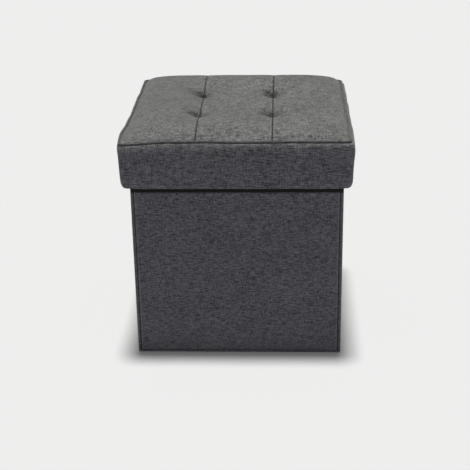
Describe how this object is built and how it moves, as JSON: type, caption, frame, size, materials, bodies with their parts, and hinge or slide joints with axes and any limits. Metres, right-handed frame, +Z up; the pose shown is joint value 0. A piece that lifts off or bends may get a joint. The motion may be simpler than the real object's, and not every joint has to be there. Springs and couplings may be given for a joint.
{
  "type": "folding storage ottoman",
  "caption": "Cube-shaped linen storage ottoman with a tufted padded lift-off lid and walls that fold flat.",
  "frame": {"origin": "centre of the underside, on the floor", "axes": "+Z up, -Y towards the front wall, +X to the right seen from the front"},
  "size_m": [0.38, 0.38, 0.404],
  "materials": {
    "outer_linen": "matte",
    "piping_linen": "matte",
    "bottom_fabric": "matte",
    "lining_nonwoven": "matte",
    "black_ribbon": "satin",
    "tuft_thread": "satin",
    "seat_foam": "matte",
    "fibreboard": "matte",
    "lid_rail_wood": "matte"
  },
  "bodies": {
    "root": {"rear_wall_cover": "outer_linen", "rear_wall_board": "fibreboard", "rear_wall_lining": "lining_nonwoven", "rear_wall_rim": "outer_linen", "corner_roll_rear_left": "outer_linen", "corner_roll_rear_right": "outer_linen", "bottom_cover": "bottom_fabric", "base_hinge_strip": "lining_nonwoven"},
    "base_board": {"base_board": "fibreboard", "base_board_lining": "lining_nonwoven", "pull_loop": "black_ribbon"},
    "left_rear_half": {"left_rear_wall_cover": "outer_linen", "left_rear_wall_board": "fibreboard", "left_rear_wall_lining": "lining_nonwoven", "left_rear_wall_rim": "outer_linen"},
    "left_front_half": {"left_front_wall_cover": "outer_linen", "left_front_wall_board": "fibreboard", "left_front_wall_lining": "lining_nonwoven", "left_front_wall_rim": "outer_linen"},
    "right_rear_half": {"right_rear_wall_cover": "outer_linen", "right_rear_wall_board": "fibreboard", "right_rear_wall_lining": "lining_nonwoven", "right_rear_wall_rim": "outer_linen"},
    "right_front_half": {"right_front_wall_cover": "outer_linen", "right_front_wall_board": "fibreboard", "right_front_wall_lining": "lining_nonwoven", "right_front_wall_rim": "outer_linen"},
    "front_wall": {"front_wall_cover": "outer_linen", "front_wall_board": "fibreboard", "front_wall_lining": "lining_nonwoven", "front_wall_rim": "outer_linen", "corner_roll_front_left": "outer_linen", "corner_roll_front_right": "outer_linen"},
    "lid": {"lid_band_front": "outer_linen", "lid_band_left": "outer_linen", "lid_band_rear": "outer_linen", "lid_band_right": "outer_linen", "lid_board": "fibreboard", "lid_foam": "seat_foam", "lid_lining": "lining_nonwoven", "lid_piping": "piping_linen", "lid_rail_front": "lid_rail_wood", "lid_rail_left": "lid_rail_wood", "lid_rail_rear": "lid_rail_wood", "lid_rail_right": "lid_rail_wood", "lid_top_centre": "outer_linen", "lid_top_left": "outer_linen", "lid_top_right": "outer_linen", "lid_tuft_tie_front_left": "tuft_thread", "lid_tuft_tie_front_right": "tuft_thread", "lid_tuft_tie_rear_left": "tuft_thread", "lid_tuft_tie_rear_right": "tuft_thread"}
  },
  "joints": [
    {"name": "lid_lift", "type": "slide", "parent": "root", "child": "lid", "axis": [0, 0, 1], "range_m": [0, 0.3]},
    {"name": "base_board_lift", "type": "hinge", "parent": "root", "child": "base_board", "pos_m": [0, 0.16885, 0.00305], "axis": [1, 0, 0], "range_deg": [-90, 0]},
    {"name": "wall_fold", "type": "hinge", "parent": "root", "child": "left_rear_half", "pos_m": [-0.172, 0.1657, 0.18], "axis": [0, 0, -1], "range_deg": [-88, 0]},
    {"name": "left_crease", "type": "hinge", "parent": "left_rear_half", "child": "left_front_half", "pos_m": [-0.1783, 0, 0.18], "axis": [0, 0, -1], "range_deg": [0, 176]},
    {"name": "front_left_corner", "type": "hinge", "parent": "left_front_half", "child": "front_wall", "pos_m": [-0.172, -0.1657, 0.18], "axis": [0, 0, -1], "range_deg": [-88, 0]},
    {"name": "rear_right_corner", "type": "hinge", "parent": "root", "child": "right_rear_half", "pos_m": [0.172, 0.1657, 0.18], "axis": [0, 0, -1], "range_deg": [0, 88]},
    {"name": "right_crease", "type": "hinge", "parent": "right_rear_half", "child": "right_front_half", "pos_m": [0.1783, 0, 0.18], "axis": [0, 0, -1], "range_deg": [-176, 0]}
  ],
  "couplings": [
    {"joint": "left_crease", "follows": "wall_fold", "ratio": -2},
    {"joint": "front_left_corner", "follows": "wall_fold", "ratio": 1},
    {"joint": "rear_right_corner", "follows": "wall_fold", "ratio": -1},
    {"joint": "right_crease", "follows": "wall_fold", "ratio": 2}
  ]
}
